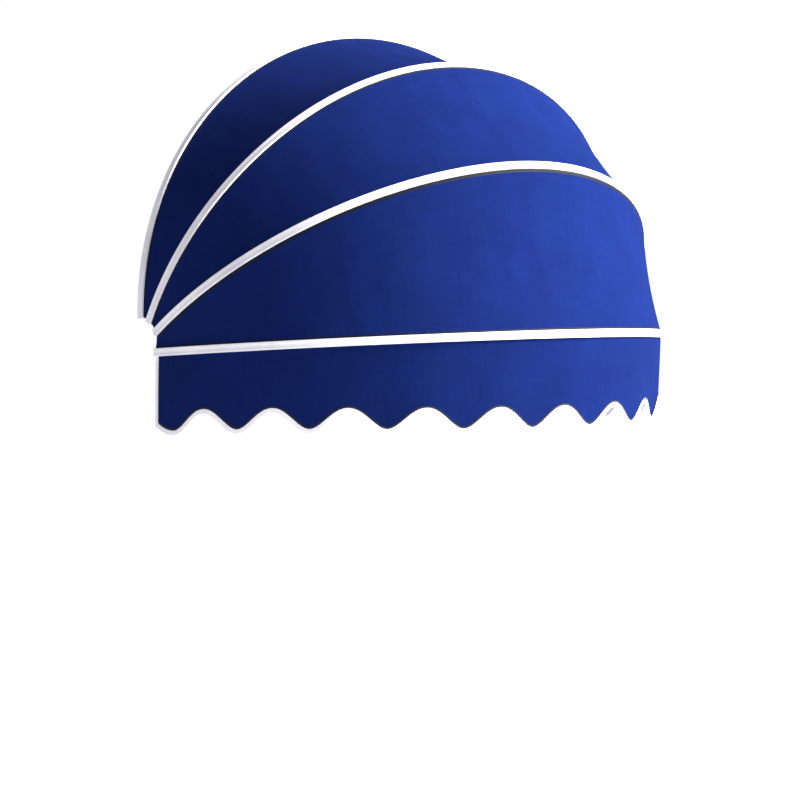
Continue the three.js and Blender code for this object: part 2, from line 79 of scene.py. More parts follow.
on_face = 0.0003
hoop_pitch = 0.021
hoops = {
    "wall_hoop": {"body": "wall_frame", "turn": 0.0, "end": 0.024},
    "upper_hoop": {"body": "upper_rib", "turn": math.radians(30), "end": 0.026},
    "lower_hoop": {"body": "lower_rib", "turn": math.radians(58), "end": 0.038},
    "front_hoop": {"body": "front_rib", "turn": math.radians(90), "end": 0.050},
}
for order, hoop in enumerate(hoops.values()):
    hoop["off_plane"] = order * hoop_pitch


def srgb(code):
    """A hex sRGB colour as linear red, green, blue and 1."""
    parts = [int(code[i:i + 2], 16) / 255 for i in (0, 2, 4)]
    linear = [p / 12.92 if p <= 0.04045 else ((p + 0.055) / 1.055) ** 2.4 for p in parts]
    return (*linear, 1.0)


def add_node(material, kind, inputs=None, **settings):
    """Adds a node. An input is a value, or another node's socket that is linked to it."""
    tree = material.node_tree
    made = tree.nodes.new(kind)
    for name, value in settings.items():
        setattr(made, name, value)
    for name, value in (inputs or {}).items():
        if isinstance(value, bpy.types.NodeSocket):
            tree.links.new(value, made.inputs[name])
        else:
            made.inputs[name].default_value = value
    return made


def new_material(name):
    """An empty material with its surface shader, which the caller fills in."""
    material = bpy.data.materials.new(name)
    material.use_nodes = True
    return material, material.node_tree.nodes["Principled BSDF"]


def white_powder_coat():
    # Polyester powder coat on aluminium: satin, with the faint orange peel of a baked coat and a
    # little grey dust that dulls it in patches.
    material, shader = new_material("white_powder_coat")
    place = add_node(material, "ShaderNodeTexCoord").outputs["Object"]
    dust = add_node(material, "ShaderNodeTexNoise", {"Vector": place, "Scale": 9.0, "Detail": 5.0,
                                                     "Roughness": 0.62})
    tint = add_node(material, "ShaderNodeValToRGB", {"Fac": dust.outputs["Fac"]})
    tint.color_ramp.elements[0].position = 0.32
    tint.color_ramp.elements[0].color = srgb("E6E6EC")
    tint.color_ramp.elements[1].position = 0.62
    tint.color_ramp.elements[1].color = srgb("F7F7FA")
    peel = add_node(material, "ShaderNodeTexNoise", {"Vector": place, "Scale": 700.0, "Detail": 2.0})
    bump = add_node(material, "ShaderNodeBump", {"Height": peel.outputs["Fac"], "Strength": 0.08,
                                                 "Distance": 0.0004})
    gloss = add_node(material, "ShaderNodeMapRange", {"Value": dust.outputs["Fac"], "To Min": 0.46,
                                                      "To Max": 0.32})
    links = material.node_tree.links
    links.new(tint.outputs["Color"], shader.inputs["Base Color"])
    links.new(bump.outputs["Normal"], shader.inputs["Normal"])
    links.new(gloss.outputs["Result"], shader.inputs["Roughness"])
    return material


def select_faces(mesh, wanted):
    """In edit mode, selects just the faces whose middle and normal the test wants."""
    bpy.ops.mesh.select_mode(type="FACE")
    bpy.ops.mesh.select_all(action="DESELECT")
    bpy.ops.object.mode_set(mode="OBJECT")
    for face in mesh.polygons:
        face.select = bool(wanted(face.center, face.normal))
    bpy.ops.object.mode_set(mode="EDIT")


def start_piece(name):
    """Names the primitive that was just added and puts its place into its mesh."""
    made = bpy.context.active_object
    made.name = name
    made.data.name = name
    bpy.ops.object.transform_apply(location=True, rotation=True, scale=True)
    return made


def turn_about_hinge(piece, axis, angle):
    """Turns a piece about the hinge axis and puts the turn into its mesh."""
    there = Matrix.Translation(hinge)
    piece.data.transform(there @ Matrix.Rotation(angle, 4, axis) @ there.inverted())


def hoop_depth_at(point):
    return hoop_radius - math.hypot(point.x - hinge.x, point.z - hinge.z)


def make_hoop(name, turn, end, off_plane):
    """A hoop built upright in the wall's plane, then turned out to its angle."""
    bpy.ops.object.select_all(action="DESELECT")
    middle = (hinge.x + hoop_radius - hoop_depth / 2, hinge.y, hinge.z)
    bpy.ops.mesh.primitive_plane_add(size=1, location=middle)
    bpy.context.active_object.scale = (hoop_depth, hoop_width, 1)
    hoop = start_piece(name)
    mesh = hoop.data
    bpy.ops.object.mode_set(mode="EDIT")
    for depth in (*slot_depths, *chamber_depths):
        bpy.ops.mesh.select_all(action="SELECT")
        bpy.ops.mesh.bisect(plane_co=(hinge.x + hoop_radius - depth, 0, 0), plane_no=(1, 0, 0))
    for across in (recess_half_width, chamber_half_width):
        for side in (-1, 1):
            bpy.ops.mesh.select_all(action="SELECT")
            bpy.ops.mesh.bisect(plane_co=(0, hinge.y + side * across, 0), plane_no=(0, 1, 0))
    select_faces(mesh, lambda c, n: chamber_depths[0] < hoop_depth_at(c) < chamber_depths[1]
                 and abs(c.y - hinge.y) < chamber_half_width)
    bpy.ops.mesh.delete(type="FACE")
    bpy.ops.object.mode_set(mode="OBJECT")
    start = math.asin(end / hoop_radius)
    turn_about_hinge(hoop, "Y", -start)
    bpy.ops.object.mode_set(mode="EDIT")
    bpy.ops.mesh.select_all(action="SELECT")
    bpy.ops.mesh.spin(steps=hoop_spin_steps, angle=math.pi - 2 * start, center=hinge, axis=(0, 1, 0))
    bpy.ops.mesh.select_all(action="SELECT")
    bpy.ops.mesh.normals_make_consistent(inside=False)
    select_faces(mesh, lambda c, n: slot_depths[0] < hoop_depth_at(c) < slot_depths[1]
                 and abs(n.y) > 0.9 and abs(c.y - hinge.y) > hoop_width / 2 - on_face)
    bpy.ops.mesh.extrude_region_shrink_fatten(TRANSFORM_OT_shrink_fatten={"value": -slot_floor})
    select_faces(mesh, lambda c, n: hoop_depth_at(c) < on_face
                 and abs(c.y - hinge.y) < recess_half_width)
    bpy.ops.mesh.extrude_region_shrink_fatten(TRANSFORM_OT_shrink_fatten={"value": -recess_floor})
    bpy.ops.object.mode_set(mode="OBJECT")
    mesh.transform(Matrix.Translation((0, -off_plane, 0)))
    turn_about_hinge(hoop, "X", turn)
    edges = hoop.modifiers.new("rolled edges", "BEVEL")
    edges.width = hoop_edge
    edges.segments = 3
    edges.limit_method = "ANGLE"
    edges.angle_limit = math.radians(50)
    bpy.ops.object.modifier_apply(modifier=edges.name)
    bpy.ops.object.shade_smooth_by_angle(angle=math.radians(35))
    return hoop


coat = white_powder_coat()
for node, about in hoops.items():
    hoop = make_hoop(node + "_profile", about["turn"], about["end"], about["off_plane"])
    hoop.data.materials.append(coat)
    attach(hoop, about["body"])
    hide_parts(node)

# ---------------------------------------------------------------------------------------------
# Gores. Three pieces of acrylic awning canvas, drawn tight between neighbouring hoops. Each edge
# is hemmed round a welt that sits in its hoop's channel, so the cloth leaves through the slot,
# lies double over the width of the hem, and pulls in a little towards its middle.
# ---------------------------------------------------------------------------------------------
cloth_depth = 0.006
cloth_thickness = 0.0009
cloth_inset = 0.003
gore_columns = 260
gore_rows = 44
gore_sag = 0.012
gore_ripple = 0.0007
slot_reach = 0.003
gores = {
    "upper_gore": ("wall_hoop", "upper_hoop", 0.004),
    "middle_gore": ("upper_hoop", "lower_hoop", 0.004),
    "lower_gore": ("lower_hoop", "front_hoop", 0.007),
}
far_welt_hem = 0.004
slot_lip = 0.0005
end_allowance = 0.03


def awning_canvas():
    # Solution-dyed acrylic canvas: a matt plain weave, a little uneven in colour from thread to
    # thread, and hardly any shine. The real threads are 0.5 mm apart, and are drawn 1.5 mm apart
    # so that they show. UV is in metres, along and across.
    thread = 0.0015
    material, shader = new_material("awning_canvas")
    links = material.node_tree.links
    place = add_node(material, "ShaderNodeUVMap", uv_map="cloth").outputs["UV"]
    split = add_node(material, "ShaderNodeSeparateXYZ", {"Vector": place})
    wave = []
    for axis in ("X", "Y"):
        scaled = add_node(material, "ShaderNodeMath", {0: split.outputs[axis], 1: math.pi / thread},
                          operation="MULTIPLY")
        sine = add_node(material, "ShaderNodeMath", {0: scaled.outputs[0]}, operation="SINE")
        wave.append(add_node(material, "ShaderNodeMath", {0: sine.outputs[0]}, operation="ABSOLUTE"))
    over = add_node(material, "ShaderNodeTexChecker", {"Vector": place, "Scale": 1 / thread})
    weave = add_node(material, "ShaderNodeMix", {"Factor": over.outputs["Fac"], "A": wave[0].outputs[0],
                                                 "B": wave[1].outputs[0]}, data_type="FLOAT")
    slubs = []
    for stretch in ((12.0, 320.0, 1.0), (320.0, 12.0, 1.0)):
        along = add_node(material, "ShaderNodeMapping", {"Vector": place, "Scale": stretch})
        slubs.append(add_node(material, "ShaderNodeTexNoise", {"Vector": along.outputs["Vector"],
                                                               "Scale": 1.0, "Detail": 3.0}))
    slub = add_node(material, "ShaderNodeMath", {0: slubs[0].outputs["Fac"], 1: slubs[1].outputs["Fac"]},
                    operation="ADD")
    cloud = add_node(material, "ShaderNodeTexNoise", {"Vector": place, "Scale": 7.0, "Detail": 4.0,
                                                      "Roughness": 0.55})
    cloudy = add_node(material, "ShaderNodeMath", {0: cloud.outputs["Fac"], 1: slub.outputs[0]},
                      operation="ADD")
    shade = add_node(material, "ShaderNodeMapRange", {"Value": cloudy.outputs[0], "From Min": 1.1,
                                                      "From Max": 1.9})
    tint = add_node(material, "ShaderNodeMix", {"A": srgb("0C1B4E"), "B": srgb("10225D"),
                                                "Factor": shade.outputs["Result"]}, data_type="RGBA")
    tall = add_node(material, "ShaderNodeMath", {0: slub.outputs[0], 1: 0.6, 2: weave.outputs[0]},
                    operation="MULTIPLY_ADD")
    bump = add_node(material, "ShaderNodeBump", {"Height": tall.outputs[0], "Strength": 0.35,
                                                 "Distance": 0.0005})
    links.new(tint.outputs["Result"], shader.inputs["Base Color"])
    links.new(bump.outputs["Normal"], shader.inputs["Normal"])
    shader.inputs["Roughness"].default_value = 0.9
    shader.inputs["Specular IOR Level"].default_value = 0.03
    return material


def welt_hem():
    # The hem that is welded round the welt, the same canvas pressed flat. Its near-black colour is
    # painted shade: the shadow in the crevice beside every hoop, painted on as a dark line. It is a
    # little smoother than the cloth.
    material, shader = new_material("welt_hem_painted_shade")
    place = add_node(material, "ShaderNodeUVMap", uv_map="cloth").outputs["UV"]
    cloud = add_node(material, "ShaderNodeTexNoise", {"Vector": place, "Scale": 60.0, "Detail": 3.0})
    tint = add_node(material, "ShaderNodeMix", {"Factor": cloud.outputs["Fac"], "A": srgb("04060F"),
                                                "B": srgb("0A1024")}, data_type="RGBA")
    bump = add_node(material, "ShaderNodeBump", {"Height": cloud.outputs["Fac"], "Strength": 0.2,
                                                 "Distance": 0.0005})
    links = material.node_tree.links
    links.new(tint.outputs["Result"], shader.inputs["Base Color"])
    links.new(bump.outputs["Normal"], shader.inputs["Normal"])
    shader.inputs["Roughness"].default_value = 0.7
    shader.inputs["Specular IOR Level"].default_value = 0.2
    return material


def on_hoop(hoop, share, depth, off):
    """A point beside a hoop, some share of the way along from its left end."""
    radius = hoop_radius - depth
    start = math.asin((hoops[hoop]["end"] + cloth_inset) / radius)
    angle = math.pi - start - share * (math.pi - 2 * start)
    out = hoops[hoop]["off_plane"] + off
    upright = Vector((radius * math.cos(angle), -out, radius * math.sin(angle)))
    return Matrix.Rotation(hoops[hoop]["turn"], 3, "X") @ upright + hinge


def make_cloth(name, columns, rows, place, thickness):
    """A grid whose points follow place(u, v), which gives a point and its place on the flat cloth."""
    bpy.ops.object.select_all(action="DESELECT")
    bpy.ops.mesh.primitive_grid_add(x_subdivisions=columns, y_subdivisions=rows, size=1)
    cloth = start_piece(name)
    mesh = cloth.data
    on_grid = [(v.co.x + 0.5, v.co.y + 0.5) for v in mesh.vertices]
    placed = [place(u, v) for u, v in on_grid]
    across = mesh.attributes.new("across", "FLOAT", "POINT")
    for vertex, share, (point, flat), (u, v) in zip(mesh.vertices, across.data, placed, on_grid):
        vertex.co = point
        share.value = v
    layer = mesh.uv_layers.new(name="cloth")
    for loop in mesh.loops:
        layer.data[loop.index].uv = placed[loop.vertex_index][1]
    made = cloth.modifiers.new("thickness", "SOLIDIFY")
    made.thickness = thickness
    made.offset = 0
    bpy.ops.object.modifier_apply(modifier=made.name)
    bpy.ops.object.shade_smooth_by_angle(angle=math.radians(50))
    return cloth


canvas = awning_canvas()
hem_painted_shade = welt_hem()
cloth_radius = hoop_radius - cloth_depth
for node, (near, far, near_welt_hem) in gores.items():
    inside = hoop_width / 2 - slot_reach
    outside = hoop_width / 2 + slot_lip

    def gore_point(u, v):
        """One row in the near hoop's slot, two rows of hem, the open cloth, and the same again."""
        row = v * gore_rows
        last = gore_rows - 1
        start = on_hoop(near, u, cloth_depth, outside)
        end = on_hoop(far, u, cloth_depth, -outside)
        width = (end - start).length
        near_edge = min(near_welt_hem / width, 0.3)
        far_edge = 1 - min(far_welt_hem / width, 0.3)
        share = float(np.interp(row, (1, 3, last - 2, last), (0, near_edge, far_edge, 1)))
        flat = ((u - 0.5) * gore_length, (share - 0.5) * width)
        if row < 1:
            return on_hoop(near, u, cloth_depth, inside + (outside - inside) * row), flat
        if row > last:
            return on_hoop(far, u, cloth_depth, -inside - (outside - inside) * (gore_rows - row)), flat
        bow = 4 * share * (1 - share)
        crown = math.sin(math.pi * u)
        ripple = gore_ripple * bow * math.sin(u * 110 + 2.2 * math.sin(u * 27)) * crown ** 2
        point = start.lerp(end, share)
        return point + (hinge - point).normalized() * (gore_sag * bow * crown + ripple), flat

    gore_length = cloth_radius * math.pi - 2 * end_allowance
    gore = make_cloth(node + "_canvas", gore_columns, gore_rows, gore_point, cloth_thickness)
    gore.data.materials.append(canvas)
    gore.data.materials.append(hem_painted_shade)
    # Painted shade: the hem rows beside each hoop take the near-black hem material, a dark line for the
    # crevice shadow.
    hem_rows = (3 / gore_rows, 1 - 3 / gore_rows)
    across = gore.data.attributes["across"].data
    for face in gore.data.polygons:
        middle = sum(across[i].value for i in face.vertices) / len(face.vertices)
        if not hem_rows[0] < middle < hem_rows[1]:
            face.material_index = 1
    weights = np.zeros(len(gore.data.vertices), np.float32)
    across.foreach_get("value", weights)
    gore.data.attributes.remove(gore.data.attributes["across"])
    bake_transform(gore)
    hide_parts(node)

# ---------------------------------------------------------------------------------------------
# Valance. One strip of the same canvas that hangs from the front hoop's lower slot, cut along its
# hem in round scallops. It hangs in slow waves, and leans in a little towards its hem.
# ---------------------------------------------------------------------------------------------
valance_drop = 0.206
middle_drop = 0.031
scallop_depth = 0.051
scallop_pitch = 0.192
first_lobe = 0.068
corner_rise = 0.025
lean_in = 0.0065
wave_height = 0.0024
lobe_curl = 0.0016
hem_shift = Vector((-0.009, 0.012, 0))
valance_columns = 590
valance_rows = 34
front_start = math.asin((hoops["front_hoop"]["end"] + cloth_inset) / cloth_radius)
valance_length = cloth_radius * (math.pi - 2 * front_start)


def hem_drop(along):
    """How far below the front hoop's middle the hem lies: lobes, with a rounded corner at the left."""
    tips = valance_drop + middle_drop * math.sin(math.pi * along / valance_length) ** 2
    if along < first_lobe:
        return tips - corner_rise * (1 - along / first_lobe) ** 2
    turn = 2 * math.pi * (along - first_lobe) / scallop_pitch
    return tips - scallop_depth * (0.5 - 0.5 * math.cos(turn))


def valance_point(along, drop, stand_off=0.0):
    """A point of the hanging strip. It waves more, and leans in more, the lower it hangs."""
    low = max(drop - hoop_width / 2, 0) / valance_drop
    wave = math.sin(along * 11 + 1.3 * math.sin(along * 4.1)) + 0.5 * math.sin(along * 27 + 0.7)
    lobe = math.cos(2 * math.pi * (along - first_lobe) / scallop_pitch)
    inwards = lean_in * low ** 1.5 - wave_height * low ** 1.3 * wave + lobe_curl * low ** 3 * lobe
    depth = cloth_depth + inwards - stand_off
    return on_hoop("front_hoop", along / valance_length, depth, drop) + hem_shift * low


def valance_place(u, v):
    along = u * valance_length
    top = hoop_width / 2 - slot_reach
    drop = top + v * (hem_drop(along) - top)
    return valance_point(along, drop), (along, drop)


valance = make_cloth("valance_canvas", valance_columns, valance_rows, valance_place, cloth_thickness)
valance.data.materials.append(canvas)
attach(valance, "front_rib")
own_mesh(valance)
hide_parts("valance")

# ---------------------------------------------------------------------------------------------
# Valance binding. A white woven tape folded over both ends and the hem, and stitched through near
# its inner edges. It runs down one end, round every lobe and up the other end, mitred at the
# corners.
# ---------------------------------------------------------------------------------------------
tape_width = 0.015
tape_shade_band = 0.004
tape_thickness = 0.0006
tape_rows = 14
tape_rib = 0.001
seam_inset = 0.002
seam_half_width = 0.0004
stitch_length = 0.0035
stitch_gap = 0.0006
tape_steps = 640
tape_end_steps = 24
tape_play = 0.0001
slope_step = 0.0005
fold_share = 0.1


def binding_tape():
    # Woven polyester tape: bright white, with fine ribs across it 1 mm apart, a near-black band of
    # painted shade along its inner edges where it meets the canvas, and a line of lockstitch 2 mm from
    # that band. UV is in metres, along and across.
    material, shader = new_material("white_binding_tape")
    links = material.node_tree.links
    place = add_node(material, "ShaderNodeUVMap", uv_map="cloth").outputs["UV"]
    split = add_node(material, "ShaderNodeSeparateXYZ", {"Vector": place})
    ribs = add_node(material, "ShaderNodeMath", {0: split.outputs["X"], 1: 2 * math.pi / tape_rib},
                    operation="MULTIPLY")
    ribbed = add_node(material, "ShaderNodeMath", {0: ribs.outputs[0]}, operation="SINE")
    across = add_node(material, "ShaderNodeMath", {0: split.outputs["Y"]}, operation="ABSOLUTE")
    seam_line = tape_width - tape_shade_band - seam_inset
    seam = add_node(material, "ShaderNodeMath", {0: across.outputs[0], 1: seam_line,
                                                 2: seam_half_width}, operation="COMPARE")
    stitch = add_node(material, "ShaderNodeMath", {0: split.outputs["X"], 1: stitch_length},
                      operation="PINGPONG")
    on = add_node(material, "ShaderNodeMath", {0: stitch.outputs[0], 1: stitch_gap},
                  operation="GREATER_THAN")
    thread = add_node(material, "ShaderNodeMath", {0: seam.outputs[0], 1: on.outputs[0]},
                      operation="MULTIPLY")
    grime = add_node(material, "ShaderNodeTexNoise", {"Vector": place, "Scale": 30.0, "Detail": 4.0})
    tint = add_node(material, "ShaderNodeMix", {"Factor": grime.outputs["Fac"], "A": srgb("EAEAF1"),
                                                "B": srgb("FAFAFC")}, data_type="RGBA")
    sewn = add_node(material, "ShaderNodeMix", {"Factor": thread.outputs[0], "A": tint.outputs["Result"],
                                                "B": srgb("D9DAE4")}, data_type="RGBA")
    # Painted shade: the near-black band at the tape's inner edge stands in for the shadow the tape casts
    # on the canvas.
    dark = add_node(material, "ShaderNodeMath", {0: across.outputs[0], 1: tape_width - tape_shade_band},
                    operation="GREATER_THAN")
    painted_shade_edge = add_node(material, "ShaderNodeMix", {"Factor": dark.outputs[0], "A": sewn.outputs["Result"],
                                                 "B": srgb("060A18")}, data_type="RGBA")
    tall = add_node(material, "ShaderNodeMath", {0: thread.outputs[0], 1: 1.5, 2: ribbed.outputs[0]},
                    operation="MULTIPLY_ADD")
    bump = add_node(material, "ShaderNodeBump", {"Height": tall.outputs[0], "Strength": 0.3,
                                                 "Distance": 0.0003})
    links.new(painted_shade_edge.outputs["Result"], shader.inputs["Base Color"])
    links.new(bump.outputs["Normal"], shader.inputs["Normal"])
    shader.inputs["Roughness"].default_value = 0.8
    shader.inputs["Sheen Weight"].default_value = 0.1
    return material


def tape_line():
    """The bound edge as pairs: a point of the edge, and one of the tape's inner edge beside it."""
    top = hoop_width / 2
    left, right = tape_width, valance_length - tape_width
    pairs = []
    for end, inner in ((0, left), (valance_length, right)):
        low, inner_low = hem_drop(end), hem_drop(inner) - tape_width
        side = []
        for i in range(tape_end_steps):
            down = i / tape_end_steps
            side.append(((end, top + down * (low - top)), (inner, top + down * (inner_low - top))))
        pairs.append(side)
    lobes = []
    for i in range(tape_steps + 1):
        along = i / tape_steps * valance_length
        slope = (hem_drop(along + slope_step) - hem_drop(along - slope_step)) / (2 * slope_step)
        away = tape_width / math.hypot(1, slope)
        inner = (min(max(along + away * slope, left), right), hem_drop(along) - away)
        lobes.append(((along, hem_drop(along)), inner))
    return pairs[0] + lobes + pairs[1][::-1]


edge_line = tape_line()
edge_length = [0.0]
for (before, _), (after, _) in zip(edge_line, edge_line[1:]):
    edge_length.append(edge_length[-1] + math.dist(before, after))


def tape_place(u, v):
    """Across the tape, v goes up the back leaf, round the edge, and up the face leaf."""
    i = round(u * (len(edge_line) - 1))
    edge, inner = edge_line[i]
    across = 2 * v - 1
    gap = cloth_thickness / 2 + tape_thickness / 2 + tape_play
    up = max(abs(across) - fold_share, 0) / (1 - fold_share)
    round_fold = min(abs(across) / fold_share, 1)
    stand_off = math.copysign(gap * math.sin(round_fold * math.pi / 2), across)
    out = tape_thickness * (1 - round_fold)
    along = edge[0] + up * (inner[0] - edge[0])
    drop = edge[1] + up * (inner[1] - edge[1])
    return valance_point(along, drop + out, stand_off), (edge_length[i], across * tape_width)


tape = make_cloth("valance_binding_tape", len(edge_line) - 1, tape_rows * 2, tape_place, tape_thickness)
tape.data.materials.append(binding_tape())
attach(tape, "front_rib")
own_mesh(tape)
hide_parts("valance_binding")

# ---------------------------------------------------------------------------------------------
# Hinge arms, wall brackets and crown bracket. Pressed steel strip: the arms and the pulley's
# housing are bright zinc plated, and the brackets are powder coated like the hoops. Their edges
# are broken all round by tumbling.
# ---------------------------------------------------------------------------------------------


def bright_zinc():
    # Zinc plate on pressed steel: a cool grey metal, a little cloudy, with fine rolling lines along
    # the strip and duller patches where white rust is starting.
    material, shader = new_material("bright_zinc_plate")
    links = material.node_tree.links
    place = add_node(material, "ShaderNodeTexCoord").outputs["Object"]
    spangle = add_node(material, "ShaderNodeTexVoronoi", {"Vector": place, "Scale": 260.0})
    cloud = add_node(material, "ShaderNodeTexNoise", {"Vector": place, "Scale": 45.0, "Detail": 5.0,
                                                      "Roughness": 0.6})
    mixed = add_node(material, "ShaderNodeMath", {0: spangle.outputs["Distance"], 1: 0.5,
                                                  2: cloud.outputs["Fac"]}, operation="MULTIPLY_ADD")
    tint = add_node(material, "ShaderNodeMix", {"Factor": mixed.outputs[0], "A": srgb("A9ADB4"),
                                                "B": srgb("D2D5DA")}, data_type="RGBA")
    gloss = add_node(material, "ShaderNodeMapRange", {"Value": cloud.outputs["Fac"], "From Min": 0.3,
                                                      "From Max": 0.7, "To Min": 0.22, "To Max": 0.5})
    rolled = add_node(material, "ShaderNodeMapping", {"Vector": place, "Scale": (2000.0, 2000.0, 30.0)})
    lines = add_node(material, "ShaderNodeTexNoise", {"Vector": rolled.outputs["Vector"], "Scale": 1.0})
    bump = add_node(material, "ShaderNodeBump", {"Height": lines.outputs["Fac"], "Strength": 0.15,
                                                 "Distance": 0.0002})
    links.new(tint.outputs["Result"], shader.inputs["Base Color"])
    links.new(gloss.outputs["Result"], shader.inputs["Roughness"])
    links.new(bump.outputs["Normal"], shader.inputs["Normal"])
    shader.inputs["Metallic"].default_value = 1.0
    return material


def finish_pressing(node, edge, body, material):
    """A copy of a plain solid with its facets merged and its sharp edges rounded."""
    bpy.ops.object.select_all(action="DESELECT")
    solid = bpy.data.objects[node]
    pressing = bpy.data.objects.new(node + "_pressing", solid.data.copy())
    bpy.context.scene.collection.objects.link(pressing)
    bpy.context.view_layer.objects.active = pressing
    pressing.select_set(True)
    pressing.data.materials.clear()
    bpy.ops.object.mode_set(mode="EDIT")
    bpy.ops.mesh.select_all(action="SELECT")
    bpy.ops.mesh.remove_doubles(threshold=0.00002)
    bpy.ops.mesh.dissolve_limited(angle_limit=math.radians(0.5))
    bpy.ops.object.mode_set(mode="OBJECT")
    rounding = pressing.modifiers.new("broken edges", "BEVEL")
    rounding.width = edge
    rounding.segments = 3
    rounding.limit_method = "ANGLE"
    rounding.angle_limit = math.radians(40)
    bpy.ops.object.modifier_apply(modifier=rounding.name)
    bpy.ops.object.shade_smooth_by_angle(angle=math.radians(40))
    pressing.data.materials.append(material)
    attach(pressing, body)
    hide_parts(node)


zinc = bright_zinc()
sides = ("left", "right")
bracket_edge = 0.0006
arm_edge = 0.0004
housing_edge = 0.0003
for side in sides:
    finish_pressing(side + "_wall_bracket", bracket_edge, "wall_frame", coat)
    for hoop, about in hoops.items():
        arm = side + "_" + hoop.replace("hoop", "arm")
        finish_pressing(arm, arm_edge, about["body"], zinc)
finish_pressing("crown_bracket", bracket_edge, "wall_frame", coat)
finish_pressing("pulley_housing", housing_edge, "wall_frame", zinc)

# ---------------------------------------------------------------------------------------------
# Screws, hinge bolts and nuts. Pan-head screws with a round recess hold the arms and the crown
# bracket, and a hexagon bolt with a nut on its inner end goes through all four arms of a side.
# ---------------------------------------------------------------------------------------------
screw_radius = 0.0020
screw_head_radius = 0.0038
screw_head_height = 0.0024
screw_length = 0.0100
screw_height = 0.066
screw_edge = 0.0003
screw_tip = 0.0008
recess_rim = 0.0008
recess_flare = 0.0012
recess_depth = 0.0011
head_dome = 0.0005
bolt_radius = 0.004
bolt_head_radius = 0.007
bolt_head_height = 0.0045
bolt_edge = 0.0002
bolt_chamfer = 0.0009
thread_pitch = 0.00125
thread_root = 0.86
nut_radius = 0.0075
nut_edge = 0.0005
bore_play = 0.0003


def box_middle(node):
    low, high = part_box(node)
    return (low + high) / 2


def box_width(node):
    low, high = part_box(node)
    return high.x - low.x


def finish_turned(piece, edge, material, body, node):
    """Rounds a turned piece's sharp edges, gives it its material, hangs it on its body and hides the
    solid it stands for.
    """
    bpy.context.view_layer.objects.active = piece
    rounding = piece.modifiers.new("broken edges", "BEVEL")
    rounding.width = edge
    rounding.segments = 2
    rounding.limit_method = "ANGLE"
    rounding.angle_limit = math.radians(35)
    bpy.ops.object.modifier_apply(modifier=rounding.name)
    bpy.ops.object.shade_smooth_by_angle(angle=math.radians(35))
    piece.data.materials.append(material)
    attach(piece, body)
    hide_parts(node)


def make_pan_screw(node, body, towards):
    """A pan-head screw whose shank points along a direction, with a recess in its head."""
    bpy.ops.object.select_all(action="DESELECT")
    bpy.ops.mesh.primitive_cylinder_add(vertices=32, radius=screw_head_radius, depth=screw_head_height,
                                        location=(0, 0, screw_head_height / 2))
    screw = start_piece(node + "_turned")
    mesh = screw.data
    bpy.ops.object.mode_set(mode="EDIT")
    select_faces(mesh, lambda c, n: n.z > 0.9)
    bpy.ops.mesh.inset(thickness=screw_head_radius - screw_radius)
    bpy.ops.mesh.extrude_region_move(TRANSFORM_OT_translate={"value": (0, 0, screw_length)})
    bpy.ops.mesh.inset(thickness=screw_tip)
    bpy.ops.transform.translate(value=(0, 0, screw_tip))
    select_faces(mesh, lambda c, n: n.z < -0.9)
    bpy.ops.mesh.inset(thickness=recess_rim)
    bpy.ops.transform.translate(value=(0, 0, -head_dome))
    bpy.ops.mesh.inset(thickness=recess_flare)
    bpy.ops.mesh.extrude_region_move(TRANSFORM_OT_translate={"value": (0, 0, recess_depth)})
    bpy.ops.object.mode_set(mode="OBJECT")
    length = screw_head_height + screw_length + screw_tip
    start = box_middle(node) - towards * (length / 2 - head_dome)
    mesh.transform(Matrix.Translation(start) @ towards.to_track_quat("Z", "Y").to_matrix().to_4x4())
    finish_turned(screw, screw_edge, zinc, body, node)


for side, sign in zip(sides, (-1, 1)):
    for hoop, about in hoops.items():
        across = math.sqrt((hoop_radius - hoop_depth) ** 2 - screw_height ** 2)
        outwards = Matrix.Rotation(about["turn"], 3, "X") @ Vector((sign * across, 0, screw_height))
        node = side + "_" + hoop.replace("hoop", "arm_screw")
        make_pan_screw(node, about["body"], outwards.normalized())
make_pan_screw("crown_screw", "wall_frame", Vector((0, 0, 1)))


def make_ring(name, node, radius, bore):
    """A round ring along X, where the plain solid is and as thick, with a hole through it."""
    bpy.ops.object.select_all(action="DESELECT")
    bpy.ops.mesh.primitive_cylinder_add(vertices=48, radius=radius, depth=box_width(node),
                                        location=box_middle(node), rotation=(0, math.pi / 2, 0))
    ring = start_piece(name)
    bpy.ops.object.mode_set(mode="EDIT")
    select_faces(ring.data, lambda c, n: abs(n.x) > 0.9)
    bpy.ops.mesh.inset(thickness=radius - bore)
    bpy.ops.mesh.bridge_edge_loops()
    bpy.ops.mesh.select_all(action="SELECT")
    bpy.ops.mesh.normals_make_consistent(inside=False)
    bpy.ops.object.mode_set(mode="OBJECT")
    return ring


def cut_hexagon(piece, radius):
    """Cuts six flats on a round piece on the hinge axis."""
    for turn in range(6):
        angle = math.radians(60 * turn)
        flat = Vector((0, math.cos(angle), math.sin(angle)))
        bpy.ops.object.mode_set(mode="EDIT")
        bpy.ops.mesh.select_all(action="SELECT")
        bpy.ops.mesh.bisect(plane_co=hinge + flat * radius * math.cos(math.pi / 6), plane_no=flat,
                            clear_outer=True, use_fill=True)
        bpy.ops.object.mode_set(mode="OBJECT")


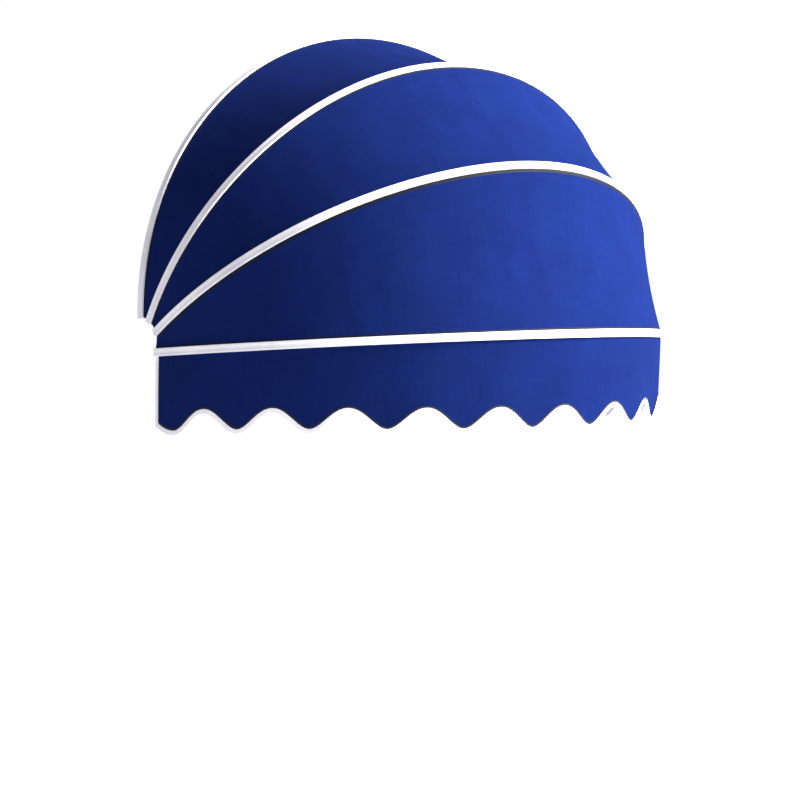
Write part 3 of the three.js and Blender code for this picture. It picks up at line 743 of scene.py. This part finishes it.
for side, sign in zip(sides, (-1, 1)):
    node = side + "_hinge_bolt"
    low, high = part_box(node)
    shank = high.x - low.x - bolt_head_height
    outer = sign * max(abs(low.x), abs(high.x))
    shank_middle = outer - sign * (bolt_head_height + shank / 2)
    bpy.ops.object.select_all(action="DESELECT")
    bpy.ops.mesh.primitive_cylinder_add(vertices=48, radius=bolt_head_radius, depth=bolt_head_height,
                                        location=(outer - sign * bolt_head_height / 2, hinge.y, hinge.z),
                                        rotation=(0, math.pi / 2, 0))
    bolt = start_piece(node + "_turned")
    cut_hexagon(bolt, bolt_head_radius)
    bpy.ops.object.mode_set(mode="EDIT")
    select_faces(bolt.data, lambda c, n: n.x * sign > 0.9)
    bpy.ops.mesh.inset(thickness=bolt_chamfer)
    bpy.ops.transform.translate(value=(sign * head_dome, 0, 0))
    bpy.ops.mesh.select_all(action="DESELECT")
    bpy.ops.mesh.primitive_cylinder_add(vertices=32, radius=bolt_radius, depth=shank,
                                        location=(shank_middle, hinge.y, hinge.z),
                                        rotation=(0, math.pi / 2, 0))
    select_faces(bolt.data, lambda c, n: n.x * sign < -0.9 and abs(c.x - outer) > bolt_head_height * 2)
    half_turn = (sign * thread_pitch / 2, 0, 0)
    for scale in (thread_root, 1 / thread_root) * 2 + (thread_root,):
        bpy.ops.mesh.extrude_region_move(TRANSFORM_OT_translate={"value": half_turn})
        bpy.ops.transform.resize(value=(1, scale, scale))
    bpy.ops.object.mode_set(mode="OBJECT")
    finish_turned(bolt, bolt_edge, zinc, "wall_frame", node)

    node = side + "_hinge_nut"
    nut = make_ring(node + "_turned", node, nut_radius, bolt_radius + bore_play)
    cut_hexagon(nut, nut_radius)
    finish_turned(nut, nut_edge, zinc, "wall_frame", node)

# ---------------------------------------------------------------------------------------------
# Washers and cord sheave. Moulded natural nylon: the washers keep the arms from rubbing, and the
# sheave turns on a steel axle between the cheeks of the pulley's housing.
# ---------------------------------------------------------------------------------------------
washer_radius = 0.009
washer_edge = 0.0001
axle_radius = 0.0025
axle_edge = 0.0004
axle_play = 0.0001
sheave_radius = 0.009
sheave_edge = 0.0003
groove_half_width = 0.0026
groove_depth = 0.0025
groove_floor_share = 0.45


def moulded_nylon():
    # Natural nylon: milky, softly translucent, with the fine matt grain of its mould and faint
    # yellowing where it is thin.
    material, shader = new_material("moulded_natural_nylon")
    links = material.node_tree.links
    place = add_node(material, "ShaderNodeTexCoord").outputs["Object"]
    cloud = add_node(material, "ShaderNodeTexNoise", {"Vector": place, "Scale": 120.0, "Detail": 3.0})
    tint = add_node(material, "ShaderNodeMix", {"Factor": cloud.outputs["Fac"], "A": srgb("E4E2D8"),
                                                "B": srgb("F0EFEA")}, data_type="RGBA")
    grain = add_node(material, "ShaderNodeTexNoise", {"Vector": place, "Scale": 2500.0})
    bump = add_node(material, "ShaderNodeBump", {"Height": grain.outputs["Fac"], "Strength": 0.15,
                                                 "Distance": 0.0001})
    links.new(tint.outputs["Result"], shader.inputs["Base Color"])
    links.new(bump.outputs["Normal"], shader.inputs["Normal"])
    shader.inputs["Roughness"].default_value = 0.45
    shader.inputs["Subsurface Weight"].default_value = 0.1
    shader.inputs["Subsurface Scale"].default_value = 0.002
    return material


nylon = moulded_nylon()
for side in sides:
    for number in (1, 2, 3, 4):
        node = f"{side}_washer_{number}"
        washer = make_ring(node + "_moulded", node, washer_radius, bolt_radius + bore_play)
        finish_turned(washer, washer_edge, nylon, "wall_frame", node)

sheave_middle = box_middle("pulley_sheave")
sheave = make_ring("pulley_sheave_moulded", "pulley_sheave", sheave_radius, axle_radius + axle_play)
bpy.ops.object.mode_set(mode="EDIT")
for edge in (-groove_half_width, groove_half_width):
    bpy.ops.mesh.select_all(action="SELECT")
    bpy.ops.mesh.bisect(plane_co=(sheave_middle.x + edge, 0, 0), plane_no=(1, 0, 0))
select_faces(sheave.data, lambda c, n: abs(c.x - sheave_middle.x) < groove_half_width
             and (c - sheave_middle).length > sheave_radius - 0.001)
bpy.ops.mesh.extrude_region_shrink_fatten(TRANSFORM_OT_shrink_fatten={"value": -groove_depth})
bpy.ops.transform.resize(value=(groove_floor_share, 1, 1))
bpy.ops.object.mode_set(mode="OBJECT")
finish_turned(sheave, sheave_edge, nylon, "sheave", "pulley_sheave")

bpy.ops.object.select_all(action="DESELECT")
bpy.ops.mesh.primitive_cylinder_add(vertices=32, radius=axle_radius, depth=box_width("pulley_axle"),
                                    location=box_middle("pulley_axle"), rotation=(0, math.pi / 2, 0))
axle = start_piece("pulley_axle_turned")
finish_turned(axle, axle_edge, zinc, "wall_frame", "pulley_axle")

# ---------------------------------------------------------------------------------------------
# Cord eyes. A ring of zinc plated wire under the crown of each moving hoop, welded to a small
# pressed plate. The lifting cord would run through them.
# ---------------------------------------------------------------------------------------------
eye_radius = 0.006
eye_wire = 0.0016
eye_plate = Vector((0.014, 0.016, 0.002))
eye_drop = 0.0008
eye_edge = 0.0003
for hoop, about in list(hoops.items())[1:]:
    node = hoop.replace("hoop", "cord_eye")
    top = hoop_radius - hoop_depth - eye_drop
    bpy.ops.object.select_all(action="DESELECT")
    bpy.ops.mesh.primitive_cube_add(size=1, location=(0, 0, top - eye_plate.z / 2))
    bpy.context.active_object.scale = eye_plate
    eye = start_piece(node + "_welded")
    bpy.ops.object.mode_set(mode="EDIT")
    bpy.ops.mesh.select_all(action="DESELECT")
    bpy.ops.mesh.primitive_torus_add(major_segments=48, minor_segments=16, major_radius=eye_radius,
                                     minor_radius=eye_wire, rotation=(math.pi / 2, 0, 0),
                                     location=(0, 0, top - eye_plate.z - eye_radius - eye_wire / 2))
    bpy.ops.object.mode_set(mode="OBJECT")
    eye.data.transform(Matrix.Translation(hinge - Vector((0, about["off_plane"], 0))))
    turn_about_hinge(eye, "X", about["turn"])
    finish_turned(eye, eye_edge, zinc, about["body"], node)

# ---------------------------------------------------------------------------------------------
# Camera, floor and light.
# ---------------------------------------------------------------------------------------------
lens = 167.562
stand = Vector((-6.119, -7.578, -0.267))
yaw, pitch, roll = math.radians(39.26), math.radians(0.37), math.radians(-2.54)
sight = Vector((math.sin(yaw) * math.cos(pitch), math.cos(yaw) * math.cos(pitch), math.sin(pitch)))
level = Vector((math.cos(yaw), -math.sin(yaw), 0))
rise = level.cross(sight)
right = level * math.cos(roll) + rise * math.sin(roll)
up = rise * math.cos(roll) - level * math.sin(roll)
camera_data = bpy.data.cameras.new("camera")
camera = bpy.data.objects.new("camera", camera_data)
bpy.context.scene.collection.objects.link(camera)
camera_data.sensor_width = 36
camera_data.lens = lens
camera_data.clip_end = 200
view = Matrix((right, up, -sight)).transposed().to_4x4()
view.translation = hinge + stand
camera.matrix_world = view
bpy.context.scene.camera = camera

floor_radius = 9
floor_drop = 1.42
bpy.ops.object.select_all(action="DESELECT")
bpy.ops.mesh.primitive_circle_add(vertices=96, radius=floor_radius, fill_type="NGON",
                                  location=(0, -0.5, hinge.z - floor_drop))
floor = start_piece("floor")
pale, shader = new_material("pale_floor")
shader.inputs["Base Color"].default_value = srgb("F4F4F4")
shader.inputs["Roughness"].default_value = 0.9
# It glows more the further it is from the awning, so that it runs into the backdrop unseen.
spot = add_node(pale, "ShaderNodeTexCoord").outputs["Object"]
reach = add_node(pale, "ShaderNodeVectorMath", {0: spot}, operation="LENGTH")
fade = add_node(pale, "ShaderNodeMapRange", {"Value": reach.outputs["Value"], "From Min": 3.0,
                                             "From Max": 6.5, "To Max": 0.7})
pale.node_tree.links.new(fade.outputs["Result"], shader.inputs["Emission Strength"])
shader.inputs["Emission Color"].default_value = (1, 1, 1, 1)
floor.data.materials.append(pale)

world = bpy.data.worlds.new("studio")
bpy.context.scene.world = world
world.use_nodes = True
tree = world.node_tree
sky = tree.nodes["Background"]
sky.inputs["Color"].default_value = (0.93, 0.9, 1.0, 1)
sky.inputs["Strength"].default_value = 0.42
backdrop = tree.nodes.new("ShaderNodeBackground")
backdrop.inputs["Color"].default_value = (1, 1, 1, 1)
backdrop.inputs["Strength"].default_value = 1.0
ray = tree.nodes.new("ShaderNodeLightPath")
mix = tree.nodes.new("ShaderNodeMixShader")
tree.links.new(ray.outputs["Is Camera Ray"], mix.inputs["Fac"])
tree.links.new(sky.outputs["Background"], mix.inputs[1])
tree.links.new(backdrop.outputs["Background"], mix.inputs[2])
tree.links.new(mix.outputs["Shader"], tree.nodes["World Output"].inputs["Surface"])


# One square soft light from the right, high and in front, facing the middle of the awning.
key_data = bpy.data.lights.new("key", "AREA")
key_data.size = 2.6
key_data.energy = 1350
key = bpy.data.objects.new("key", key_data)
bpy.context.scene.collection.objects.link(key)
key_distance = 5.5
way = Vector((0.557, -0.663, 0.5)).normalized()
key.location = hinge + Vector((0, -0.3, 0.2)) + way * key_distance
key.rotation_euler = way.to_track_quat("Z", "Y").to_euler()
bpy.context.scene.view_settings.view_transform = "Standard"
